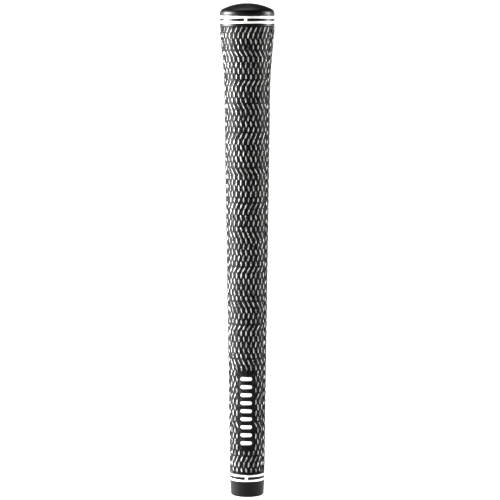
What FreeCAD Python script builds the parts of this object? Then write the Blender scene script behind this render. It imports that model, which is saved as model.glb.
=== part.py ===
"""A slip-on golf grip: a rubber sleeve with a corded outer layer, an end cap and paint-filled marks.

The grip stands on its mouth. +Z runs along the bore to the end cap, the origin is on the bore's axis
at the mouth's end face, and the marked front faces -Y. Every piece but the marks is round about Z.
"""

import FreeCAD, Part
import math
import os

import Sketcher

DRIVING_SIZES = {
    # the whole sleeve
    "grip_length": 267.0,
    "bore_radius": 7.366,
    # wall thickness outside the bore, at the mouth, above the nose, where the flare starts, and at the butt
    "mouth_wall": 1.60,
    "neck_wall": 2.13,
    "waist_wall": 5.187,
    "butt_wall": 7.354,
    # lengths along the sleeve; the brow is the level stretch between the flare and the butt collar
    "nose_length": 8.1,
    "nose_round": 1.0,
    "flare_length": 23.0,
    "flare_radius": 220.0,
    "brow_length": 2.8,
    # the outer layer and the gap that a cured bond line fills
    "ply_thickness": 1.0,
    "bond_line": 0.05,
    # the end cap
    "cap_rim": 0.8,
    "crown_radius": 30.0,
    "shoulder_radius": 3.0,
    "plug_lip": 2.0,
    "plug_length": 4.5,
    "vent_radius": 1.5,
    # the filled rings and the marks that join them
    "fill_depth": 0.4,
    "butt_ring_width": 1.3,
    "butt_ring_pitch": 2.65,
    "butt_ring_land": 0.3,
    "butt_collar_foot": 1.25,
    "mouth_ring_width": 1.2,
    "mouth_ring_pitch": 2.6,
    "mouth_ring_land": 0.4,
    "mouth_collar_head": 0.6,
    "index_width": 1.7,
    "index_depth": 0.3,
    # the row of filled bars on the front
    "motif_start": 30.0,
    "motif_pitch": 4.4,
    "motif_count": 9,
    "motif_bar_length": 6.4,
    "motif_bar_height": 2.2,
    # how far a cut runs on past the surface it starts from
    "cut_margin": 2.0,
}


def cell(name):
    """The expression that reads one cell of the sheet."""
    return "<<Sizes>>." + name


BORE = cell("bore_radius")
BOND = cell("bond_line")
PLY = cell("ply_thickness")
CUT_MARGIN = cell("cut_margin")

MOUTH_RADIUS = f"({BORE} + {cell('mouth_wall')})"
NECK_RADIUS = f"({BORE} + {cell('neck_wall')})"
WAIST_RADIUS = f"({BORE} + {cell('waist_wall')})"
BUTT_RADIUS = f"({BORE} + {cell('butt_wall')})"
PLUG_RADIUS = f"({BORE} + {cell('plug_lip')})"

# heights along Z
CROWN_CENTRE = f"({cell('grip_length')} - {cell('crown_radius')})"
SHOULDER_CENTRE = (
    f"({CROWN_CENTRE} + sqrt(pow({cell('crown_radius')} - {cell('shoulder_radius')}; 2)"
    f" - pow({BUTT_RADIUS} - {cell('shoulder_radius')}; 2)))"
)
CAP_BASE = f"({SHOULDER_CENTRE} - {cell('cap_rim')})"
SLEEVE_TOP = f"({CAP_BASE} - {BOND})"
PLUG_END = f"({CAP_BASE} - {cell('plug_length')})"
BUTT_UPPER_RING_BASE = f"({SLEEVE_TOP} - {cell('butt_ring_land')} - {cell('butt_ring_width')})"
BUTT_LOWER_RING_BASE = f"({BUTT_UPPER_RING_BASE} - {cell('butt_ring_pitch')})"
BUTT_COLLAR_BASE = f"({BUTT_LOWER_RING_BASE} - {cell('butt_collar_foot')})"
PANEL_TOP = f"({BUTT_COLLAR_BASE} - {BOND})"
FLARE_TOP = f"({PANEL_TOP} - {cell('brow_length')})"
FLARE_BASE = f"({FLARE_TOP} - {cell('flare_length')})"
MOUTH_COLLAR_BASE = f"({cell('nose_length')} + {BOND})"
MOUTH_LOWER_RING_BASE = f"({MOUTH_COLLAR_BASE} + {cell('mouth_ring_land')})"
MOUTH_UPPER_RING_BASE = f"({MOUTH_LOWER_RING_BASE} + {cell('mouth_ring_pitch')})"
MOUTH_UPPER_RING_TOP = f"({MOUTH_UPPER_RING_BASE} + {cell('mouth_ring_width')})"
MOUTH_COLLAR_TOP = f"({MOUTH_UPPER_RING_TOP} + {cell('mouth_collar_head')})"
PANEL_BASE = f"({MOUTH_COLLAR_TOP} + {BOND})"

# clear of every surface, and further still
OUTSIDE = f"({BUTT_RADIUS} + {CUT_MARGIN})"
FAR_OUTSIDE = f"({OUTSIDE} + {CUT_MARGIN})"

# the straight taper and the flare meet at FLARE_BASE, rounded by an arc that touches both
TAPER_RISE = f"(({WAIST_RADIUS} - {NECK_RADIUS}) / ({FLARE_BASE} - {cell('nose_length')}))"
FLARE_RISE = f"(({BUTT_RADIUS} - {WAIST_RADIUS}) / {cell('flare_length')})"
ARC_REACH = f"({cell('flare_radius')} * tan((atan({FLARE_RISE}) - atan({TAPER_RISE})) / 2))"
ARC_FOOT = f"({FLARE_BASE} - {ARC_REACH} * cos(atan({TAPER_RISE})))"
ARC_FOOT_RADIUS = f"({WAIST_RADIUS} - {ARC_REACH} * sin(atan({TAPER_RISE})))"
ARC_HEAD = f"({FLARE_BASE} + {ARC_REACH} * cos(atan({FLARE_RISE})))"
ARC_HEAD_RADIUS = f"({WAIST_RADIUS} + {ARC_REACH} * sin(atan({FLARE_RISE})))"


def taper_radius(height):
    """Radius of the straight taper, from the nose to the foot of the flare, at a height."""
    return f"({NECK_RADIUS} + ({height} - {cell('nose_length')}) * {TAPER_RISE})"


def flared_side(inset):
    """Corners of the sleeve's side from the foot of its arc up to the butt, moved in by an inset."""
    return [
        (f"({ARC_FOOT_RADIUS} - {inset})", ARC_FOOT),
        (f"({ARC_HEAD_RADIUS} - {inset})", ARC_HEAD),
        (f"({BUTT_RADIUS} - {inset})", FLARE_TOP),
        (f"({BUTT_RADIUS} - {inset})", PANEL_TOP),
    ]


def make_sheet(doc):
    """The spreadsheet of driving sizes, one aliased cell for each."""
    sheet = doc.addObject("Spreadsheet::Sheet", "Sizes")
    sheet.Label = "Sizes"
    for row, (name, value) in enumerate(DRIVING_SIZES.items(), start=1):
        sheet.set(f"A{row}", name)
        sheet.set(f"B{row}", str(value))
        sheet.setAlias(f"B{row}", name)
    doc.recompute()
    return sheet


def make_body(doc, label):
    """An empty body whose label is the name of the piece."""
    body = doc.addObject("PartDesign::Body", label)
    body.Label = label
    body.AllowCompound = True
    return body


def origin_feature(body, role):
    """One of the body's own planes or axes, found by its role."""
    return next(item for item in body.Origin.OriginFeatures if item.Role == role)


def make_sketch(body, name):
    """A sketch on the XZ plane: its X is the radius and its Y is the height."""
    sketch = body.newObject("Sketcher::SketchObject", name)
    sketch.AttachmentSupport = [(origin_feature(body, "XZ_Plane"), "")]
    sketch.MapMode = "FlatFace"
    return sketch


def number(owner, expression):
    """The present value of an expression, as a plain number."""
    value = owner.evalExpression(expression)
    return float(getattr(value, "Value", value))


def bind(sketch, constraint, expression):
    """Add a dimension to the sketch and tie it to an expression."""
    index = sketch.addConstraint(constraint)
    sketch.setExpression(f"Constraints[{index}]", expression)


def pin_point(sketch, edge, end, radius, height):
    """Dimension one end of an edge by its radius and its height."""
    across = Sketcher.Constraint("DistanceX", -1, 1, edge, end, number(sketch, radius))
    bind(sketch, across, radius)
    upward = Sketcher.Constraint("DistanceY", -1, 1, edge, end, number(sketch, height))
    bind(sketch, upward, height)


def arc_about(centre, start, end):
    """The short arc from start to end about a centre."""
    reach = (start - centre).Length
    middle = centre + ((start + end) * 0.5 - centre).normalize() * reach
    return Part.Arc(start, middle, end)


def centre_by_radius(start, end, radius):
    """Centre of an arc of a given radius that bulges to the right of the way from start to end.

    A negative radius makes it bulge to the left.
    """
    chord = end - start
    side = FreeCAD.Vector(-chord.y, chord.x, 0).normalize()
    drop = math.sqrt(radius * radius - chord.dot(chord) / 4)
    return (start + end) * 0.5 + side * math.copysign(drop, radius)


def draw_outline(sketch, corners, rounds=None):
    """Draw a closed outline through the corners, each a (radius, height) pair of expressions.

    Edge i runs from corner i to the next. rounds maps an edge to the signed expression of its radius.
    """
    rounds = rounds or {}
    count = len(corners)
    spots = [FreeCAD.Vector(number(sketch, r), number(sketch, z), 0) for r, z in corners]
    ends = []
    for edge in range(count):
        start = spots[edge]
        end = spots[(edge + 1) % count]
        if edge in rounds:
            shape = arc_about(centre_by_radius(start, end, number(sketch, rounds[edge])), start, end)
        else:
            shape = Part.LineSegment(start, end)
        sketch.addGeometry(shape)
        starts_first = sketch.getPoint(edge, 1).distanceToPoint(start) < 1e-6
        ends.append((1, 2) if starts_first else (2, 1))
    for edge in range(count):
        after = (edge + 1) % count
        sketch.addConstraint(Sketcher.Constraint("Coincident", edge, ends[edge][1], after, ends[after][0]))
    for edge, (radius, height) in enumerate(corners):
        pin_point(sketch, edge, ends[edge][0], radius, height)
    for edge, radius in rounds.items():
        size = abs(number(sketch, radius))
        bind(sketch, Sketcher.Constraint("Radius", edge, size), f"abs({radius})")


def turn(body, kind, name, sketch, angle=360, backwards=False):
    """Turn a sketch about the body's Z axis: a Revolution adds and a Groove cuts."""
    feature = body.newObject(f"PartDesign::{kind}", name)
    feature.Profile = sketch
    feature.ReferenceAxis = (origin_feature(body, "Z_Axis"), [""])
    feature.Angle = angle
    feature.Reversed = backwards
    sketch.Visibility = False
    return feature


def turned_piece(doc, label, corners, rounds=None, angle=360, backwards=False):
    """A body turned about Z from one outline."""
    body = make_body(doc, label)
    sketch = make_sketch(body, label + "_section")
    draw_outline(sketch, corners, rounds)
    turn(body, "Revolution", label + "_turned", sketch, angle, backwards)
    return body


def band(surface, low, high, depth, proud="0"):
    """Corners of a thin band under a surface: surface gives the radius at a height."""
    return [
        (f"({surface(low)} - {depth})", low),
        (f"({surface(low)} + {proud})", low),
        (f"({surface(high)} + {proud})", high),
        (f"({surface(high)} - {depth})", high),
    ]


def butt_surface(height):
    """Radius of the butt collar, the same at every height."""
    return BUTT_RADIUS


def make_butt_cap(doc):
    """The end cap: a domed crown on a short rim, with a vented plug that stops the shaft."""
    shoulder = cell("shoulder_radius")
    crown = cell("crown_radius")
    vent = cell("vent_radius")
    share = f"({crown} / ({crown} - {shoulder}))"
    corners = [
        (vent, PLUG_END),
        (PLUG_RADIUS, PLUG_END),
        (PLUG_RADIUS, CAP_BASE),
        (BUTT_RADIUS, CAP_BASE),
        (BUTT_RADIUS, SHOULDER_CENTRE),
        (f"({share} * ({BUTT_RADIUS} - {shoulder}))",
         f"({CROWN_CENTRE} + {share} * ({SHOULDER_CENTRE} - {CROWN_CENTRE}))"),
        (vent, f"({CROWN_CENTRE} + sqrt(pow({crown}; 2) - pow({vent}; 2)))"),
    ]
    return turned_piece(doc, "butt_cap", corners, rounds={4: shoulder, 5: crown})


def make_inner_sleeve(doc):
    """The rubber listing: the shaft's bore, a seat for the cap's plug, and the smooth nose."""
    nose_top = cell("nose_length")
    inset = f"({PLY} + {BOND})"
    seat = f"({PLUG_END} - {BOND})"
    corners = [
        (BORE, "0"),
        (MOUTH_RADIUS, "0"),
        (NECK_RADIUS, nose_top),
        (f"({NECK_RADIUS} - {inset})", nose_top),
        *flared_side(inset)[:3],
        (f"({BUTT_RADIUS} - {inset})", SLEEVE_TOP),
        (f"({PLUG_RADIUS} + {BOND})", SLEEVE_TOP),
        (f"({PLUG_RADIUS} + {BOND})", seat),
        (BORE, seat),
    ]
    body = turned_piece(doc, "inner_sleeve", corners, rounds={4: f"-{cell('flare_radius')}"})
    round_nose(doc, body)
    return body


def round_nose(doc, body):
    """Round the outer edge of the sleeve's mouth."""
    doc.recompute()
    base = body.Tip
    flat_circles = [
        (edge.Curve.Radius, index)
        for index, edge in enumerate(base.Shape.Edges, start=1)
        if isinstance(edge.Curve, Part.Circle) and abs(edge.BoundBox.ZMax) < 1e-6
    ]
    fillet = body.newObject("PartDesign::Fillet", "nose_rounding")
    fillet.Base = (base, [f"Edge{max(flat_circles)[1]}"])
    fillet.setExpression("Radius", cell("nose_round"))


def make_cord_panel(doc, label, backwards):
    """One half of the corded layer, from the parting plane round to the parting plane."""
    outside = [(taper_radius(PANEL_BASE), PANEL_BASE)] + flared_side("0")
    inside = [(f"({taper_radius(PANEL_BASE)} - {PLY})", PANEL_BASE)] + flared_side(PLY)
    corners = outside + inside[::-1]
    bend = cell("flare_radius")
    rounds = {1: f"-{bend}", 7: bend}
    return turned_piece(doc, label, corners, rounds, angle=180, backwards=backwards)


def make_motif(doc, label, growth, proud):
    """The row of bars on the front, or with growth and proud set, the recess that takes them."""
    body = make_body(doc, label)
    length = f"({cell('motif_bar_length')} + 2 * {growth})"
    height = f"({cell('motif_bar_height')} + 2 * {growth})"
    sketch = make_sketch(body, label + "_bar")
    draw_round_bar(sketch, length, height, cell("motif_start"))
    sketch.Visibility = False
    bar = body.newObject("PartDesign::Pad", label + "_first_bar")
    bar.Profile = sketch
    bar.setExpression("Length", OUTSIDE)
    row = body.newObject("PartDesign::LinearPattern", label + "_row")
    row.Originals = [bar]
    row.Direction = (origin_feature(body, "Z_Axis"), [""])
    row.setExpression("Occurrences", cell("motif_count"))
    row.setExpression("Length", f"({cell('motif_count')} - 1) * {cell('motif_pitch')}")
    body.Tip = row
    doc.recompute()
    low = f"({cell('motif_start')} - {cell('motif_pitch')})"
    high = f"({cell('motif_start')} + {cell('motif_count')} * {cell('motif_pitch')})"
    trim_outside(body, label, low, high, proud)
    inside = make_sketch(body, label + "_inside")
    under = f"({cell('fill_depth')} + {growth})"
    floor = band(taper_radius, low, high, under)
    draw_outline(inside, [("0", low), floor[0], floor[3], ("0", high)])
    turn(body, "Groove", label + "_hollowed", inside)
    return body


def draw_round_bar(sketch, length, height, centre):
    """A bar with round ends, lying across the Z axis at a height."""
    half_height = number(sketch, height) / 2
    middle = number(sketch, centre)
    arm = number(sketch, length) / 2 - half_height
    up = FreeCAD.Vector(0, 0, 1)
    quarter = math.pi / 2
    right = Part.Circle(FreeCAD.Vector(arm, middle, 0), up, half_height)
    left = Part.Circle(FreeCAD.Vector(-arm, middle, 0), up, half_height)
    top = (FreeCAD.Vector(arm, middle + half_height, 0), FreeCAD.Vector(-arm, middle + half_height, 0))
    bottom = (FreeCAD.Vector(-arm, middle - half_height, 0), FreeCAD.Vector(arm, middle - half_height, 0))
    sketch.addGeometry(Part.ArcOfCircle(right, -quarter, quarter))
    sketch.addGeometry(Part.LineSegment(*top))
    sketch.addGeometry(Part.ArcOfCircle(left, quarter, 3 * quarter))
    sketch.addGeometry(Part.LineSegment(*bottom))
    for edge in range(4):
        sketch.addConstraint(Sketcher.Constraint("Tangent", edge, 2, (edge + 1) % 4, 1))
    sketch.addConstraint(Sketcher.Constraint("Symmetric", 0, 3, 2, 3, -2))
    bind(sketch, Sketcher.Constraint("Radius", 0, half_height), f"{height} / 2")
    bind(sketch, Sketcher.Constraint("DistanceX", 2, 3, 0, 3, 2 * arm), f"{length} - {height}")
    bind(sketch, Sketcher.Constraint("DistanceY", -1, 1, 0, 3, middle), centre)


def trim_outside(body, label, low, high, proud, surface=taper_radius):
    """Cut away what stands further out than the surface and the proud height."""
    sketch = make_sketch(body, label + "_outside")
    corners = [
        (f"({surface(low)} + {proud})", low),
        (FAR_OUTSIDE, low),
        (FAR_OUTSIDE, high),
        (f"({surface(high)} + {proud})", high),
    ]
    draw_outline(sketch, corners)
    turn(body, "Groove", label + "_trimmed", sketch)


def draw_index(sketch, low, high, width, floor):
    """A rectangle across the front, on a plane whose distance from the axis is floor."""
    sketch.setExpression("AttachmentOffset.Base.z", f"{floor}")
    half = number(sketch, width) / 2
    base = number(sketch, low)
    top = number(sketch, high)
    spots = [(-half, base), (half, base), (half, top), (-half, top)]
    for edge, (across, height) in enumerate(spots):
        after = spots[(edge + 1) % 4]
        sketch.addGeometry(Part.LineSegment(FreeCAD.Vector(across, height, 0), FreeCAD.Vector(*after, 0)))
    for edge in range(4):
        sketch.addConstraint(Sketcher.Constraint("Coincident", edge, 2, (edge + 1) % 4, 1))
    for edge, kind in ((1, "Vertical"), (2, "Horizontal"), (3, "Vertical")):
        sketch.addConstraint(Sketcher.Constraint(kind, edge))
    sketch.addConstraint(Sketcher.Constraint("Symmetric", 0, 1, 0, 2, -2))
    bind(sketch, Sketcher.Constraint("DistanceX", 0, 1, 0, 2, 2 * half), width)
    bind(sketch, Sketcher.Constraint("DistanceY", -1, 1, 0, 1, base), low)
    bind(sketch, Sketcher.Constraint("DistanceY", 0, 2, 1, 2, top - base), f"{high} - {low}")


def make_collar(doc, label, surface, base, top, ring_bases, ring_width):
    """A smooth band of the outer layer, grooved for two rings and the mark that joins them."""
    body = turned_piece(doc, label, band(surface, base, top, PLY))
    ring_floor = f"({cell('fill_depth')} + {BOND})"
    index_floor = f"({cell('index_depth')} + {BOND})"
    for place, ring_base in zip(("lower", "upper"), ring_bases):
        sketch = make_sketch(body, f"{label}_{place}_channel")
        foot = f"({ring_base} - {BOND})"
        head = f"({ring_base} + {ring_width} + {BOND})"
        draw_outline(sketch, band(surface, foot, head, ring_floor, proud=CUT_MARGIN))
        turn(body, "Groove", f"{label}_{place}_groove", sketch)
    slot = make_sketch(body, label + "_index_channel")
    low = f"({ring_bases[0]} + {ring_width})"
    wide = f"({cell('index_width')} + 2 * {BOND})"
    draw_index(slot, low, ring_bases[1], wide, f"({surface(low)} - {index_floor})")
    slot.Visibility = False
    doc.recompute()
    pocket = body.newObject("PartDesign::Pocket", label + "_index_slot")
    pocket.Profile = slot
    pocket.Reversed = True
    pocket.setExpression("Length", CUT_MARGIN)
    return body


def make_ring(doc, label, surface, base, ring_width):
    """The paint that fills one ring groove, flush with the collar."""
    return turned_piece(doc, label, band(surface, base, f"({base} + {ring_width})", cell("fill_depth")))


def make_index_bar(doc, label, surface, ring_bases, ring_width):
    """The paint mark that joins the two rings at the front."""
    body = make_body(doc, label)
    sketch = make_sketch(body, label + "_face")
    low = f"({ring_bases[0]} + {ring_width} + {BOND})"
    high = f"({ring_bases[1]} - {BOND})"
    draw_index(sketch, low, high, cell("index_width"), f"({surface(low)} - {cell('index_depth')})")
    sketch.Visibility = False
    bar = body.newObject("PartDesign::Pad", label + "_pad")
    bar.Profile = sketch
    bar.setExpression("Length", CUT_MARGIN)
    doc.recompute()
    trim_outside(body, label, f"({low} - {CUT_MARGIN})", f"({high} + {CUT_MARGIN})", "0", surface)
    return body


def make_front_panel(doc):
    """The front half of the corded layer, recessed for the row of bars."""
    blank = make_cord_panel(doc, "front_panel_blank", backwards=True)
    recess = make_motif(doc, "motif_recess", BOND, CUT_MARGIN)
    panel = doc.addObject("Part::Cut", "cord_panel_front")
    panel.Label = "cord_panel_front"
    panel.Base = blank
    panel.Tool = recess
    return panel


def make_pieces(doc):
    """Every sub-part of the grip, in the order in which it would be laid out on a bench."""
    butt_rings = (BUTT_LOWER_RING_BASE, BUTT_UPPER_RING_BASE)
    mouth_rings = (MOUTH_LOWER_RING_BASE, MOUTH_UPPER_RING_BASE)
    pieces = [make_butt_cap(doc), make_inner_sleeve(doc), make_front_panel(doc)]
    pieces.append(make_cord_panel(doc, "cord_panel_back", backwards=False))
    ends = (
        ("butt", butt_surface, BUTT_COLLAR_BASE, SLEEVE_TOP, butt_rings),
        ("mouth", taper_radius, MOUTH_COLLAR_BASE, MOUTH_COLLAR_TOP, mouth_rings),
    )
    for name, surface, base, top, rings in ends:
        width = cell(name + "_ring_width")
        pieces.append(make_collar(doc, name + "_collar", surface, base, top, rings, width))
        for place, ring_base in zip(("lower", "upper"), rings):
            pieces.append(make_ring(doc, f"{name}_ring_{place}", surface, ring_base, width))
        pieces.append(make_index_bar(doc, name + "_index_bar", surface, rings, width))
    pieces.append(make_motif(doc, "motif_bars", "0", "0"))
    return pieces


def check_document(doc, pieces):
    """Stop before anything is written if a feature failed or a piece is not sound."""
    for item in doc.Objects:
        if "Invalid" in item.State or "Error" in item.State:
            raise RuntimeError(f"{item.Label} failed: {item.State}")
    for piece in pieces:
        expected = DRIVING_SIZES["motif_count"] if piece.Label == "motif_bars" else 1
        if piece.Shape.isNull() or not piece.Shape.isValid():
            raise RuntimeError(f"{piece.Label} has no sound shape")
        if len(piece.Shape.Solids) != expected:
            raise RuntimeError(f"{piece.Label} has {len(piece.Shape.Solids)} solids, not {expected}")


def main():
    doc = FreeCAD.newDocument("golf_grip")
    make_sheet(doc)
    pieces = make_pieces(doc)
    doc.recompute()
    check_document(doc, pieces)
    os.makedirs("parts", exist_ok=True)
    for piece in pieces:
        piece.Shape.exportStep(f"parts/{piece.Label}.step")
        box = piece.Shape.optimalBoundingBox()
        print(f"{piece.Label}: {piece.Shape.Volume:.1f} mm3, Y {box.YMin:.2f} to {box.YMax:.2f},"
              f" Z {box.ZMin:.2f} to {box.ZMax:.2f}")


main()
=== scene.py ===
"""Looks of the corded golf grip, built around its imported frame. Metres, +Z up, front to -Y."""

import math
import random

import bpy
import numpy as np
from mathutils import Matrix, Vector


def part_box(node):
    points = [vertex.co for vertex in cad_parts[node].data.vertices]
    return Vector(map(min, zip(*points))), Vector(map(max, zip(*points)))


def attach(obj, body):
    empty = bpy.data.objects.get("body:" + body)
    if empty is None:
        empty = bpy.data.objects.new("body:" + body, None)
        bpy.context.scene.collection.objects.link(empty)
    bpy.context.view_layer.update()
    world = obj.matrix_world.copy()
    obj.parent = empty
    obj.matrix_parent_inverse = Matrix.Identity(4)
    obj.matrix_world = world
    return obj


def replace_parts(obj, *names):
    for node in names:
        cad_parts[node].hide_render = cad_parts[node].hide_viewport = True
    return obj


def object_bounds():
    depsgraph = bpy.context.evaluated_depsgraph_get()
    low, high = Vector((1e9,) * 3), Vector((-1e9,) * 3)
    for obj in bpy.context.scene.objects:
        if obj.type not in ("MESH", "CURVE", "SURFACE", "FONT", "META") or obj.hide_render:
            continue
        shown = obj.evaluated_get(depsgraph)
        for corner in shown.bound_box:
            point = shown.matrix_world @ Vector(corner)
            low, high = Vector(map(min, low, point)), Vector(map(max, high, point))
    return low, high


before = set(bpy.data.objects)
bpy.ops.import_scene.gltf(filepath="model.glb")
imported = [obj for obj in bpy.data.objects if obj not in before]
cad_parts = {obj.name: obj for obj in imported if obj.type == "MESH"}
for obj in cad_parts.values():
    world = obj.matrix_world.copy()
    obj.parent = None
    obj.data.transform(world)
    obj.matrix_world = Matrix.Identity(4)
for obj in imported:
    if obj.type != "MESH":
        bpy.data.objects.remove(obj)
CAD_LOW, CAD_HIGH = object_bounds()

MM = 0.001
HALF_TURN = math.pi
FULL_TURN = 2 * math.pi
BOND_LINE = 0.05 * MM

# the corded panels: rows of ridges, gathered in bands that each start with a slanted row
PLY_THICKNESS = 1.0 * MM
RIDGE_HEIGHT = 0.34 * MM
RIDGE_WIDTH = 0.95 * MM
RIDGE_BOW = 0.07 * MM
RIDGE_OUTLINE = 12
COLUMN_PITCH = 2.7 * MM
BANDS = (4, 5, 4, 5, 6, 6, 5, 6, 6, 4, 6, 6, 5, 6, 3)
BAND_GAP = 0.2 * MM
FIRST_ROW_LEAN = 28
LAST_ROW_LEAN = -4
ROW_LEAN = 7
PANEL_EDGE = 0.35 * MM
SEAM_LAND = 0.45 * MM
SEAM_DENT = 0.22 * MM
SINK = 0.06 * MM

# how far each ridge may stray from its place, size and lean
ARC_STRAY = 0.09 * MM
HEIGHT_STRAY = 0.08 * MM
WIDTH_STRAY = 0.12
LENGTH_STRAY = 0.06
RISE_STRAY = 0.06
LEAN_STRAY = 4
DOT_LEAN_STRAY = 6

# the dimples up the sides, with short ridges between them
DIMPLE_COUNT = 51
DIMPLE_ANGLE = math.radians(66.5)
DIMPLE_RADIUS = 1.1 * MM
DIMPLE_DEPTH = 0.55 * MM
DIMPLE_LANE = 1.4 * MM
DOT_WIDTH = 1.5 * MM
DOT_LENGTH = 2.3 * MM

# the smooth plate under the row of bars
PLATE_MARGIN = 0.5 * MM
PLATE_CLEARANCE = 1.7 * MM
PLATE_CORNER = 1.6 * MM
PLATE_DEPTH = 0.10 * MM
BAR_EDGE = 0.14 * MM
BAR_CROWN = 0.02 * MM

# the paint in the ring grooves and the marks between the rings
PAINT_DEPTH = 0.35 * MM
PAINT_EDGE = 0.07 * MM
PAINT_WAVER = 0.04 * MM
MARK_OVERLAP = 0.1 * MM
MARK_DEPTH = 0.28 * MM
MARK_CORNER = 0.05 * MM

# the end cap
CROWN_RADIUS = 30.0 * MM
SHOULDER_RADIUS = 3.0 * MM
VENT_RADIUS = 1.5 * MM
CAP_RIM = 0.8 * MM
CAP_EDGE = 0.15 * MM
PLUG_EDGE = 0.3 * MM

# the camera stands level with the butt and looks down at the mouth
CAMERA_DISTANCE = 1.217
CAMERA_BELOW_TOP = 5.0 * MM
CAMERA_AZIMUTH = math.radians(3.0)
FRAME_FILL = 0.989
FRAME_DROP = 0.0009
SIDE_OFFSET = 1.5 * MM
SENSOR = 36.0

# the room: a glowing floor, a bright horizon, and softboxes as place, width, height and watts
FLOOR_REACH = 40.0
FLOOR_DROP = 0.1 * MM
FLOOR_GREY = 0.30
FLOOR_GLOW = 0.87
HORIZON_BAND = (0.08, 0.30)
HORIZON_GLOW = 0.97
OVERHEAD_GLOW = 0.12
SOFTBOXES = {
    "left_softbox": ((-0.76, -0.04, 0.22), 0.60, 0.8, 50.0),
    "right_softbox": ((0.75, 0.15, 0.24), 0.30, 0.8, 16.0),
    "top_softbox": ((-0.1, 0.2, 1.3), 0.8, 0.8, 6.0),
}


# ---------------------------------------------------------------- shapes read from the frame

def outer_profile(node):
    """Heights and outer radii of a turned CAD node, lowest first, from its faces that look outward."""
    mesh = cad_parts[node].data
    rings = {}
    for face in mesh.polygons:
        outward = Vector((face.center.x, face.center.y, 0)).normalized()
        if face.normal.dot(outward) < 0.5:
            continue
        for number in face.vertices:
            point = mesh.vertices[number].co
            height = round(point.z, 6)
            rings[height] = max(rings.get(height, 0.0), math.hypot(point.x, point.y))
    heights = sorted(rings)
    return np.array(heights), np.array([rings[z] for z in heights])


PANEL_HEIGHTS, PANEL_RADII = outer_profile("cord_panel_back")
PANEL_LOW = float(PANEL_HEIGHTS[0])
PANEL_HIGH = float(PANEL_HEIGHTS[-1])


def panel_radius(height):
    """Outer radius of the corded layer at a height."""
    return float(np.interp(height, PANEL_HEIGHTS, PANEL_RADII))


def on_sleeve(angle, radius, height):
    """A point at an angle round from the front, positive towards +X."""
    return (radius * math.sin(angle), -radius * math.cos(angle), height)


# ---------------------------------------------------------------- mesh building

class Shape:
    """Vertices and faces gathered for one mesh, with a material number for each face."""

    def __init__(self):
        self.points = []
        self.faces = []
        self.kinds = []

    def ring(self, points):
        """Add a closed run of points and return their numbers."""
        first = len(self.points)
        self.points.extend(points)
        return list(range(first, len(self.points)))

    def face(self, numbers, kind=0):
        self.faces.append(tuple(numbers))
        self.kinds.append(kind)

    def bridge(self, below, above, kind=0):
        """Join two closed runs of the same length with quads."""
        count = len(below)
        for i in range(count):
            j = (i + 1) % count
            self.face((below[i], below[j], above[j], above[i]), kind)

    def build(self, name, materials):
        """Make the object, with its normals outward, riding on the root body."""
        mesh = bpy.data.meshes.new(name)
        mesh.from_pydata(self.points, [], self.faces)
        for material in materials:
            mesh.materials.append(material)
        mesh.polygons.foreach_set("material_index", self.kinds)
        mesh.polygons.foreach_set("use_smooth", [True] * len(self.faces))
        mesh.update()
        piece = bpy.data.objects.new(name, mesh)
        bpy.context.scene.collection.objects.link(piece)
        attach(piece, "root")
        return piece


def lathe(name, profile, materials, segments=144, waver=0.0, seed=0):
    """Turn a closed (radius, height) profile about Z; waver shifts the heights a little all round."""
    shape = Shape()
    source = random.Random(seed)
    phases = [source.uniform(0, FULL_TURN) for _ in range(4)]
    rings = []
    for step in range(segments):
        angle = FULL_TURN * step / segments
        waves = [math.sin((3 + 5 * n) * angle + phase) for n, phase in enumerate(phases)]
        shift = waver * sum(waves) / len(waves)
        rings.append(shape.ring([on_sleeve(angle, radius, height + shift) for radius, height in profile]))
    for step in range(segments):
        shape.bridge(rings[step], rings[(step + 1) % segments])
    return shape.build(name, materials)


def arc_points(centre, radius, start, end, steps):
    """Points of an arc in the (radius, height) plane, both ends included."""
    turns = [start + (end - start) * i / steps for i in range(steps + 1)]
    return [(centre[0] + radius * math.cos(t), centre[1] + radius * math.sin(t)) for t in turns]


# ---------------------------------------------------------------- corded panels

PATTERN_TOP = PANEL_HIGH - PANEL_EDGE
PATTERN_HEIGHT = PATTERN_TOP - PANEL_LOW - PANEL_EDGE
ROW_PITCH = PATTERN_HEIGHT / sum(BANDS)
DIMPLE_PITCH = PATTERN_HEIGHT / DIMPLE_COUNT
TOP_DIMPLE = PATTERN_TOP - DIMPLE_PITCH / 2


def add_ridge(shape, arc, height, width, length, rise, slant, bow):
    """A moulded ridge: a spindle bent into a slight S, with a crowned top, standing on the layer's floor.

    Its levels give the share of the full outline, the lift above the floor and the material number.
    """
    radius = panel_radius(height)
    levels = (
        (1.10, -SINK, 0),
        (0.96, rise * 0.50, 0),
        (0.82, rise * 0.86, 0),
        (0.45, rise, 1),
    )
    runs = []
    for share, lift, _ in levels:
        points = []
        for step in range(RIDGE_OUTLINE):
            turn = FULL_TURN * (step + 0.5) / RIDGE_OUTLINE
            across = math.copysign(abs(math.cos(turn)) ** 0.85, math.cos(turn))
            along = math.copysign(abs(math.sin(turn)) ** 0.80, math.sin(turn))
            narrow = 1 - (1 - share) * width / length
            u = across * width / 2 * share + bow * math.sin(HALF_TURN * along)
            v = along * length / 2 * narrow
            u, v = u * math.cos(slant) - v * math.sin(slant), u * math.sin(slant) + v * math.cos(slant)
            reach = panel_radius(height + v) - RIDGE_HEIGHT + lift
            points.append(on_sleeve((arc + u) / radius, reach, height + v))
        runs.append(shape.ring(points))
    shape.face(reversed(runs[0]))
    for level in range(1, len(levels)):
        shape.bridge(runs[level - 1], runs[level], levels[level][2])
    shape.face(runs[-1], 1)


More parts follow.
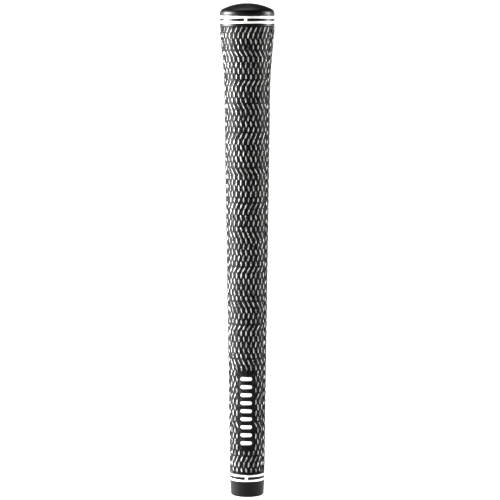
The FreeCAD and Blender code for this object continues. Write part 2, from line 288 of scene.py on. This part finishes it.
def add_bar(shape, surface, height, width, extent, corner, floor, lift, columns=18):
    """A bar lying across the front and following its curve, with rounded corners and a soft edge."""
    edge = min(BAR_EDGE, extent / 4)
    runs = []
    for step in range(columns + 1):
        u = -width / 2 * math.cos(HALF_TURN * step / columns)
        into_corner = max(0.0, abs(u) - (width / 2 - corner))
        half = extent / 2 - corner + math.sqrt(max(corner ** 2 - into_corner ** 2, (0.2 * corner) ** 2))
        section = (
            (-half, floor), (-half, lift - edge * 0.6), (-half + edge, lift), (0.0, lift + BAR_CROWN),
            (half - edge, lift), (half, lift - edge * 0.6), (half, floor),
        )
        points = []
        for v, rise in section:
            reach = surface(height + v)
            points.append(on_sleeve(u / reach, reach + rise, height + v))
        runs.append(shape.ring(points))
    for step in range(columns):
        shape.bridge(runs[step], runs[step + 1])
    shape.face(reversed(runs[0]))
    shape.face(runs[-1])


def dimple_heights():
    """Heights of the dimples, counted down from the butt, half a pitch in."""
    return [TOP_DIMPLE - DIMPLE_PITCH * i for i in range(DIMPLE_COUNT)]


def floor_heights():
    """Heights of the floor's rings, closer together round each dimple."""
    heights = [PANEL_LOW, PANEL_LOW + PANEL_EDGE]
    for centre in reversed(dimple_heights()):
        heights += [centre + share * DIMPLE_RADIUS for share in (-1.5, -1.0, -0.6, 0.0, 0.6, 1.0, 1.5)]
    return heights + [PATTERN_TOP, PANEL_HIGH]


def floor_angles():
    """Angles of the floor's columns over half a turn about its middle, closer together at the dimples."""
    angles = [i * math.radians(5.5) for i in range(12)]
    offsets = (-6.0, -4.8, -3.6, -2.4, -1.2, 0.0, 1.2, 2.4, 3.6, 4.8, 6.0)
    angles += [DIMPLE_ANGLE + math.radians(offset) for offset in offsets]
    land = SEAM_LAND / PANEL_RADII.mean()
    angles += [math.radians(81), HALF_TURN / 2 - land * 1.6, HALF_TURN / 2 - land, HALF_TURN / 2]
    return [-a for a in reversed(angles[1:])] + angles


def floor_radius(angle, height):
    """Radius of the floor under the ridges: sunk, with dimples, and a row of dents on the parting line."""
    radius = panel_radius(height)
    from_seam = (HALF_TURN / 2 - abs(angle)) * radius
    sunk = RIDGE_HEIGHT * min(max(from_seam / SEAM_LAND - 1.0, 0.0) / 0.5, 1.0)
    if height in (PANEL_LOW, PANEL_HIGH):
        return radius - RIDGE_HEIGHT * 1.15
    place = (TOP_DIMPLE - height) / DIMPLE_PITCH
    rise = (place - round(place)) * DIMPLE_PITCH
    reach = math.hypot((abs(angle) - DIMPLE_ANGLE) * radius, rise) / DIMPLE_RADIUS
    if reach < 1.0:
        sunk += DIMPLE_DEPTH * (1 - reach ** 4)
    if from_seam < 1.5 * SEAM_LAND:
        sunk += SEAM_DENT * max(0.0, 1 - (rise / DIMPLE_RADIUS) ** 2)
    return radius - sunk


def add_floor(shape, middle):
    """Half a turn of the layer under its ridges, closed along the parting plane and at both ends."""
    heights = floor_heights()
    runs = []
    for angle in floor_angles():
        outer = [on_sleeve(middle + angle, floor_radius(angle, z), z) for z in heights]
        inner = [on_sleeve(middle + angle, panel_radius(z) - PLY_THICKNESS, z) for z in reversed(heights)]
        runs.append(shape.ring(outer + inner))
    for below, above in zip(runs, runs[1:]):
        shape.bridge(below, above)
    shape.face(reversed(runs[0]))
    shape.face(runs[-1])


def row_plan():
    """Centre height, length of the ridges and slant of each row, from the butt down."""
    rows = []
    top = PATTERN_TOP
    for band_number, count in enumerate(BANDS):
        pitch = ROW_PITCH - BAND_GAP / count
        lean = 1 if band_number % 2 else -1
        for row in range(count):
            height = top - BAND_GAP / 2 - pitch * (row + 0.5)
            if row == 0:
                rows.append((height, pitch * 1.10, FIRST_ROW_LEAN * lean))
            elif row == count - 1:
                rows.append((height, pitch * 0.86, LAST_ROW_LEAN * lean))
            else:
                rows.append((height, pitch * 1.04, (ROW_LEAN if row % 2 else -ROW_LEAN) * lean))
        top -= ROW_PITCH * count
    return rows


def covered(arc, height, radius, plate):
    """Whether the lane of dimples or the smooth plate takes the place of a ridge."""
    in_lane = abs(abs(arc) - DIMPLE_ANGLE * radius) < DIMPLE_LANE
    on_plate = plate and abs(arc) < plate[0] and plate[1] < height < plate[2]
    return in_lane or on_plate


def add_ridges(shape, middle, plate, source):
    """All rows of ridges on one half, staggered by half a column from row to row."""
    for row, (height, length, lean) in enumerate(row_plan()):
        radius = panel_radius(height)
        reach = HALF_TURN / 2 * radius - SEAM_LAND - RIDGE_WIDTH * 0.5
        side = int(reach / COLUMN_PITCH) + 1
        for column in range(-side, side + 1):
            arc = (column + 0.5 * (row % 2)) * COLUMN_PITCH
            jitter = [source.uniform(-1, 1) for _ in range(6)]
            if abs(arc) > reach or covered(arc, height, radius, plate):
                continue
            add_ridge(
                shape,
                arc + jitter[0] * ARC_STRAY + middle * radius,
                height + jitter[1] * HEIGHT_STRAY,
                RIDGE_WIDTH * (1 + WIDTH_STRAY * jitter[2]),
                length * (1 + LENGTH_STRAY * jitter[3]),
                RIDGE_HEIGHT * (1 - RISE_STRAY + RISE_STRAY * jitter[4]),
                math.radians(lean + LEAN_STRAY * jitter[5]),
                RIDGE_BOW if row % 2 else -RIDGE_BOW,
            )


def add_dots(shape, middle, source):
    """The short ridges between the dimples."""
    for below in dimple_heights()[1:]:
        height = below + DIMPLE_PITCH / 2
        radius = panel_radius(height)
        for side in (-1, 1):
            arc = (middle + side * DIMPLE_ANGLE) * radius
            tilt = math.radians(source.uniform(-DOT_LEAN_STRAY, DOT_LEAN_STRAY))
            add_ridge(shape, arc, height, DOT_WIDTH, DOT_LENGTH, RIDGE_HEIGHT * 0.9, tilt, 0.0)


def bars_of(node):
    """Centre heights, width across and height of the bars in a CAD node, read from its vertices."""
    points = [v.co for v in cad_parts[node].data.vertices]
    levels = sorted({round(p.z, 5) for p in points})
    groups = [[levels[0]]]
    for level in levels[1:]:
        if level - groups[-1][-1] > 1.0 * MM:
            groups.append([])
        groups[-1].append(level)
    width = 2 * max(abs(p.x) for p in points)
    return [(g[0] + g[-1]) / 2 for g in groups], width, groups[0][-1] - groups[0][0]


def make_panels(rubber, cord):
    """The two corded panels, the front one with a smooth plate under the row of bars."""
    centres, bar_width, bar_height = bars_of("motif_bars")
    plate_width = bar_width + 2 * PLATE_MARGIN
    plate_low = centres[0] - bar_height / 2 - PLATE_MARGIN
    plate_high = centres[-1] + bar_height / 2 + PLATE_MARGIN
    plate = ((plate_width + RIDGE_WIDTH) / 2, plate_low - PLATE_CLEARANCE, plate_high + PLATE_CLEARANCE)
    for name, middle, front, seed in (
        ("cord_panel_front", 0.0, True, 11),
        ("cord_panel_back", HALF_TURN, False, 23),
    ):
        shape = Shape()
        add_floor(shape, middle)
        source = random.Random(seed)
        add_ridges(shape, middle, plate if front else None, source)
        add_dots(shape, middle, source)
        if front:
            add_bar(
                shape, panel_radius, (plate_low + plate_high) / 2, plate_width, plate_high - plate_low,
                PLATE_CORNER, -RIDGE_HEIGHT - SINK, -PLATE_DEPTH,
            )
        piece = shape.build("moulded_" + name, [rubber, cord])
        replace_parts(piece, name)


def make_motif(paint):
    """The filled bars on the front, each slightly crowned."""
    centres, bar_width, bar_height = bars_of("motif_bars")
    shape = Shape()
    for centre in centres:
        add_bar(
            shape, panel_radius, centre, bar_width, bar_height, bar_height / 2,
            -RIDGE_HEIGHT, -BAR_CROWN,
        )
    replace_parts(shape.build("painted_motif_bars", [paint]), "motif_bars")


# ---------------------------------------------------------------- cap, rings and marks

def make_cap(rubber):
    """The domed end cap with its rim, plug and vent."""
    low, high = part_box("butt_cap")
    radius = high.x
    crown_centre = high.z - math.sqrt(CROWN_RADIUS ** 2 - VENT_RADIUS ** 2)
    shoulder_x = radius - SHOULDER_RADIUS
    reach = CROWN_RADIUS - SHOULDER_RADIUS
    shoulder_z = crown_centre + math.sqrt(reach ** 2 - shoulder_x ** 2)
    base = shoulder_z - CAP_RIM
    tilt = math.atan2(shoulder_z - crown_centre, shoulder_x)
    vent_tilt = math.acos(VENT_RADIUS / CROWN_RADIUS)
    sleeve = [v.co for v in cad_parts["inner_sleeve"].data.vertices]
    seat_radius = min(math.hypot(point.x, point.y) for point in sleeve if point.z > base - 1 * MM)
    plug_radius = seat_radius - BOND_LINE
    profile = [
        (VENT_RADIUS, low.z), (plug_radius - PLUG_EDGE, low.z), (plug_radius, low.z + PLUG_EDGE),
        (plug_radius, base), (radius - CAP_EDGE, base), (radius, base + CAP_EDGE),
    ]
    profile += arc_points((shoulder_x, shoulder_z), SHOULDER_RADIUS, 0.0, tilt, 14)
    profile += arc_points((0.0, crown_centre), CROWN_RADIUS, tilt, vent_tilt - 0.006, 26)[1:]
    profile += [(VENT_RADIUS, high.z - CAP_EDGE)]
    cap = lathe("moulded_butt_cap", profile, [rubber], segments=192)
    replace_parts(cap, "butt_cap")


def make_rings(paint):
    """The paint in the ring grooves, a little crowned and not quite even."""
    nodes = ("butt_ring_lower", "butt_ring_upper", "mouth_ring_lower", "mouth_ring_upper")
    for seed, node in enumerate(nodes):
        low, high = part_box(node)
        radii = outer_profile(node)[1]
        foot, head = float(radii[0]), float(radii[-1])
        profile = [
            (foot - PAINT_DEPTH, low.z), (foot - PAINT_EDGE, low.z), (foot, low.z + PAINT_EDGE),
            ((foot + head) / 2 + BAR_CROWN, (low.z + high.z) / 2),
            (head, high.z - PAINT_EDGE), (head - PAINT_EDGE, high.z), (head - PAINT_DEPTH, high.z),
        ]
        piece = lathe("painted_" + node, profile, [paint], 180, PAINT_WAVER, seed)
        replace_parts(piece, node)


def make_index_bars(paint):
    """The marks that join the rings at the front."""
    for node, collar in (("butt_index_bar", "butt_collar"), ("mouth_index_bar", "mouth_collar")):
        low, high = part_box(node)
        heights, radii = outer_profile(collar)

        def surface(height):
            return float(np.interp(height, [heights[0], heights[-1]], [radii[0], radii[-1]]))

        shape = Shape()
        add_bar(
            shape, surface, (low.z + high.z) / 2, high.x - low.x, high.z - low.z + MARK_OVERLAP,
            MARK_CORNER, -MARK_DEPTH, 0.0, columns=6,
        )
        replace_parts(shape.build("painted_" + node, [paint]), node)


# ---------------------------------------------------------------- materials

class Nodes:
    """A small helper for building a node tree on a Principled shader."""

    def __init__(self, name):
        self.material = bpy.data.materials.new(name)
        self.material.use_nodes = True
        self.tree = self.material.node_tree
        self.shader = self.tree.nodes["Principled BSDF"]
        self.place = self.add("ShaderNodeTexCoord").outputs["Object"]

    def add(self, kind, **settings):
        node = self.tree.nodes.new(kind)
        for key, value in settings.items():
            setattr(node, key, value)
        return node

    def link(self, source, target):
        """Link a socket to the target, or set a plain value on it."""
        if isinstance(source, (int, float, tuple)):
            target.default_value = source
        else:
            self.tree.links.new(source, target)

    def maths(self, operation, *values):
        node = self.add("ShaderNodeMath", operation=operation)
        for value, socket in zip(values, node.inputs):
            self.link(value, socket)
        return node.outputs[0]

    def length(self, first, second):
        """Square root of the sum of two squares."""
        squares = [self.maths("MULTIPLY", side, side) for side in (first, second)]
        return self.maths("SQRT", self.maths("ADD", *squares))

    def split_place(self):
        """The three coordinates of the position."""
        parts = self.add("ShaderNodeSeparateXYZ")
        self.link(self.place, parts.inputs[0])
        return parts.outputs

    def unrolled(self):
        """Position on the sleeve laid flat, in metres: arc length round from the front, and height."""
        x, y, z = self.split_place()
        angle = self.maths("ARCTAN2", x, self.maths("MULTIPLY", y, -1.0))
        flat = self.add("ShaderNodeCombineXYZ")
        self.link(self.maths("MULTIPLY", angle, self.length(x, y)), flat.inputs[0])
        self.link(z, flat.inputs[1])
        return flat.outputs[0]

    def dimple_bare_rubber_and_shade(self):
        """1 inside the dimples of both halves, 0 outside them: the mask that paints the pits plain black,
        partly as their bare rubber and partly as painted shade.
        """
        x, y, z = self.split_place()
        angle = self.maths("ARCTAN2", self.maths("ABSOLUTE", x), self.maths("ABSOLUTE", y))
        across = self.maths("MULTIPLY", self.maths("SUBTRACT", angle, DIMPLE_ANGLE), self.length(x, y))
        place = self.maths("DIVIDE", self.maths("SUBTRACT", TOP_DIMPLE, z), DIMPLE_PITCH)
        off_centre = self.maths("SUBTRACT", place, self.maths("ROUND", place))
        rise = self.maths("MULTIPLY", off_centre, DIMPLE_PITCH)
        return self.ramp(self.length(across, rise), DIMPLE_RADIUS * 1.05, DIMPLE_RADIUS * 0.7)

    def stretched(self, source, turn_degrees, scale):
        """A point turned in its own plane and then scaled along each axis."""
        node = self.add("ShaderNodeMapping", vector_type="TEXTURE")
        node.inputs["Rotation"].default_value = (0, 0, math.radians(turn_degrees))
        node.inputs["Scale"].default_value = tuple(1 / s for s in scale)
        self.link(source, node.inputs[0])
        return node.outputs[0]

    def noise(self, source, scale, detail=3.0, roughness=0.6):
        node = self.add("ShaderNodeTexNoise")
        self.link(source, node.inputs["Vector"])
        node.inputs["Scale"].default_value = scale
        node.inputs["Detail"].default_value = detail
        node.inputs["Roughness"].default_value = roughness
        return node.outputs["Fac"]

    def ramp(self, source, low, high):
        """Smoothly from 0 at low to 1 at high; low may be the larger of the two."""
        node = self.add("ShaderNodeMapRange", interpolation_type="SMOOTHSTEP")
        self.link(source, node.inputs["Value"])
        node.inputs["From Min"].default_value = low
        node.inputs["From Max"].default_value = high
        return node.outputs["Result"]

    def mixed(self, share, first, second):
        node = self.add("ShaderNodeMix", data_type="RGBA")
        self.link(share, node.inputs["Factor"])
        self.link(first, node.inputs[6])
        self.link(second, node.inputs[7])
        return node.outputs[2]

    def between(self, share, low, high):
        """A number that goes from low to high as share goes from 0 to 1."""
        return self.maths("ADD", self.maths("MULTIPLY", share, high - low), low)

    def bump(self, source, depth, strength):
        node = self.add("ShaderNodeBump")
        node.inputs["Distance"].default_value = depth
        node.inputs["Strength"].default_value = strength
        self.link(source, node.inputs["Height"])
        self.link(node.outputs[0], self.shader.inputs["Normal"])

    def set(self, **sockets):
        names = {"color": "Base Color", "roughness": "Roughness", "specular": "Specular IOR Level",
                 "sheen": "Sheen Weight", "sheen_roughness": "Sheen Roughness"}
        for key, value in sockets.items():
            self.link(value, self.shader.inputs[names[key]])


BLACK_RUBBER = (0.004, 0.004, 0.0042, 1)
WORN_RUBBER = (0.010, 0.010, 0.0105, 1)
COTTON = (0.40, 0.395, 0.385, 1)
DIRTY_COTTON = (0.11, 0.108, 0.105, 1)
DULL_PAINT = (0.50, 0.50, 0.49, 1)
FRESH_PAINT = (0.64, 0.64, 0.625, 1)
GRIME = (0.20, 0.195, 0.19, 1)


def cord_rubber():
    """Black rubber with fine ends of cotton cord showing through it."""
    n = Nodes("cord_rubber")
    flat = n.unrolled()
    fibres = n.noise(n.stretched(flat, 32, (1.0, 0.22, 1.0)), 3600, 2.0)
    crossing = n.noise(n.stretched(flat, -32, (1.0, 0.22, 1.0)), 3300, 2.0)
    clumps = n.noise(flat, 420, 3.0)
    specks = n.maths("MAXIMUM", n.ramp(fibres, 0.54, 0.66), n.ramp(crossing, 0.56, 0.68))
    specks = n.maths("MULTIPLY", specks, n.ramp(clumps, 0.34, 0.58))
    base = n.mixed(clumps, BLACK_RUBBER, WORN_RUBBER)
    flecked = n.mixed(n.maths("MULTIPLY", specks, 0.50), base, DIRTY_COTTON)
    # the dimples are painted plain black: bare rubber without cotton flecks, and painted shade in the pits
    n.set(color=n.mixed(n.dimple_bare_rubber_and_shade(), flecked, BLACK_RUBBER))
    n.set(roughness=n.between(clumps, 0.38, 0.55), specular=0.07, sheen=0.55, sheen_roughness=0.22)
    n.bump(n.maths("ADD", fibres, crossing), 0.05 * MM, 0.7)
    return n.material


def bare_cord():
    """The ground tops of the ridges, where the cotton cord lies bare in the rubber."""
    n = Nodes("bare_cord")
    flat = n.unrolled()
    fibres = n.noise(n.stretched(flat, 24, (1.0, 0.2, 1.0)), 3000, 3.0)
    patches = n.noise(flat, 330, 2.0)
    fine = n.noise(flat, 5200, 2.0)
    shown = n.maths("MULTIPLY", n.ramp(fibres, 0.34, 0.50), n.ramp(patches, 0.28, 0.46))
    soiling = n.ramp(n.noise(flat, 170, 2.0), 0.38, 0.60)
    bleached = n.maths("MULTIPLY", n.ramp(fine, 0.20, 0.55), n.between(soiling, 0.35, 1.0))
    thread = n.mixed(bleached, DIRTY_COTTON, COTTON)
    n.set(color=n.mixed(shown, WORN_RUBBER, thread), roughness=n.between(shown, 0.6, 0.92), specular=0.3)
    n.bump(n.maths("ADD", fibres, fine), 0.05 * MM, 0.8)
    return n.material


def smooth_rubber(name, stipple):
    """Moulded black rubber with a satin skin, faint flow marks and handling wear."""
    n = Nodes(name)
    cloud = n.noise(n.place, 90, 4.0)
    grain = n.noise(n.place, 2600, 2.0)
    scuffs = n.noise(n.stretched(n.unrolled(), 12, (1.0, 6.0, 1.0)), 240, 5.0, 0.7)
    worn = n.ramp(scuffs, 0.60, 0.74)
    n.set(color=n.mixed(n.maths("MULTIPLY", worn, 0.5), BLACK_RUBBER, WORN_RUBBER))
    rough = n.maths("ADD", n.between(cloud, 0.30, 0.46), n.maths("MULTIPLY", worn, 0.15))
    n.set(roughness=rough, specular=0.24)
    n.bump(grain, 0.02 * MM, stipple)
    return n.material


def white_paint():
    """Flexible white paint, a little dusty and thin in places."""
    n = Nodes("white_paint")
    cloud = n.noise(n.place, 260, 4.0)
    pits = n.noise(n.place, 2400, 3.0)
    grime = n.ramp(n.noise(n.unrolled(), 900, 5.0, 0.7), 0.56, 0.70)
    clean = n.mixed(cloud, DULL_PAINT, FRESH_PAINT)
    n.set(color=n.mixed(n.maths("MULTIPLY", grime, 0.6), clean, GRIME))
    n.set(roughness=n.between(cloud, 0.38, 0.55), specular=0.4)
    n.bump(pits, 0.02 * MM, 0.4)
    return n.material


# ---------------------------------------------------------------- stage, light and camera

def make_floor():
    """A large pale floor that glows enough to look white."""
    material = bpy.data.materials.new("floor_white")
    material.use_nodes = True
    shader = material.node_tree.nodes["Principled BSDF"]
    shader.inputs["Base Color"].default_value = (FLOOR_GREY, FLOOR_GREY, FLOOR_GREY, 1)
    shader.inputs["Roughness"].default_value = 0.9
    shader.inputs["Specular IOR Level"].default_value = 0.1
    shader.inputs["Emission Color"].default_value = (1, 1, 1, 1)
    shader.inputs["Emission Strength"].default_value = FLOOR_GLOW
    corners = ((-1, -1), (1, -1), (1, 1), (-1, 1))
    level = CAD_LOW.z - FLOOR_DROP
    mesh = bpy.data.meshes.new("floor")
    mesh.from_pydata([(x * FLOOR_REACH, y * FLOOR_REACH, level) for x, y in corners], [], [(0, 1, 2, 3)])
    mesh.materials.append(material)
    floor = bpy.data.objects.new("floor", mesh)
    bpy.context.scene.collection.objects.link(floor)


def make_world():
    """Bright round the horizon, so that the floor runs out into white, and dim overhead."""
    world = bpy.data.worlds.new("studio")
    world.use_nodes = True
    tree = world.node_tree
    background = tree.nodes["Background"]
    direction = tree.nodes.new("ShaderNodeTexCoord")
    parts = tree.nodes.new("ShaderNodeSeparateXYZ")
    height = tree.nodes.new("ShaderNodeMath")
    height.operation = "ABSOLUTE"
    fade = tree.nodes.new("ShaderNodeMapRange")
    fade.inputs["From Min"].default_value = HORIZON_BAND[0]
    fade.inputs["From Max"].default_value = HORIZON_BAND[1]
    fade.inputs["To Min"].default_value = HORIZON_GLOW
    fade.inputs["To Max"].default_value = OVERHEAD_GLOW
    tree.links.new(direction.outputs["Generated"], parts.inputs[0])
    tree.links.new(parts.outputs["Z"], height.inputs[0])
    tree.links.new(height.outputs[0], fade.inputs["Value"])
    tree.links.new(fade.outputs["Result"], background.inputs["Color"])
    bpy.context.scene.world = world


def make_lights():
    """A strong softbox at the left, a weaker one at the right and a faint one above, aimed at mid height."""
    middle = Vector((0, 0, (CAD_LOW.z + CAD_HIGH.z) / 2))
    for name, (place, width, height, watts) in SOFTBOXES.items():
        light = bpy.data.lights.new(name, "AREA")
        light.shape = "RECTANGLE"
        light.size = width
        light.size_y = height
        light.energy = watts
        lamp = bpy.data.objects.new(name, light)
        lamp.location = place
        lamp.rotation_mode = "QUATERNION"
        lamp.rotation_quaternion = (middle - Vector(place)).to_track_quat("-Z", "Y")
        bpy.context.scene.collection.objects.link(lamp)


def make_camera():
    """Level with the butt, aimed so that the grip fills the frame from top to bottom."""
    right = Vector((math.cos(CAMERA_AZIMUTH), math.sin(CAMERA_AZIMUTH), 0))
    back = Vector((math.sin(CAMERA_AZIMUTH), -math.cos(CAMERA_AZIMUTH), 0))
    place = back * CAMERA_DISTANCE + right * SIDE_OFFSET + Vector((0, 0, CAD_HIGH.z - CAMERA_BELOW_TOP))
    mouth_radius = panel_radius(PANEL_LOW)
    up_angle = math.atan((CAD_HIGH.z - place.z) / CAMERA_DISTANCE)
    down_angle = math.atan((place.z - CAD_LOW.z) / (CAMERA_DISTANCE - mouth_radius))
    half_view = (down_angle + up_angle) / 2 / FRAME_FILL
    pitch = (down_angle - up_angle) / 2 - FRAME_DROP * 2 * half_view
    camera = bpy.data.cameras.new("camera")
    camera.sensor_width = SENSOR
    camera.lens = SENSOR / 2 / math.tan(half_view)
    camera.clip_end = 200
    viewer = bpy.data.objects.new("camera", camera)
    viewer.location = place
    facing = -back * math.cos(pitch) - Vector((0, 0, math.sin(pitch)))
    viewer.rotation_mode = "QUATERNION"
    viewer.rotation_quaternion = facing.to_track_quat("-Z", "Y")
    bpy.context.scene.collection.objects.link(viewer)
    bpy.context.scene.camera = viewer


# ---------------------------------------------------------------- putting it together

RUBBER = cord_rubber()
CORD = bare_cord()
CAP_SKIN = smooth_rubber("cap_skin", 0.5)
COLLAR_SKIN = smooth_rubber("collar_skin", 0.3)
SLEEVE_SKIN = smooth_rubber("sleeve_skin", 0.3)
PAINT = white_paint()

make_panels(RUBBER, CORD)
make_motif(PAINT)
make_cap(CAP_SKIN)
make_rings(PAINT)
make_index_bars(PAINT)
for node, skin in (
    ("butt_collar", COLLAR_SKIN), ("mouth_collar", COLLAR_SKIN), ("inner_sleeve", SLEEVE_SKIN),
):
    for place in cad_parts[node].material_slots:
        place.material = skin

make_floor()
make_world()
make_lights()
make_camera()
bpy.context.scene.view_settings.view_transform = "Standard"
bpy.context.scene.view_settings.look = "High Contrast"
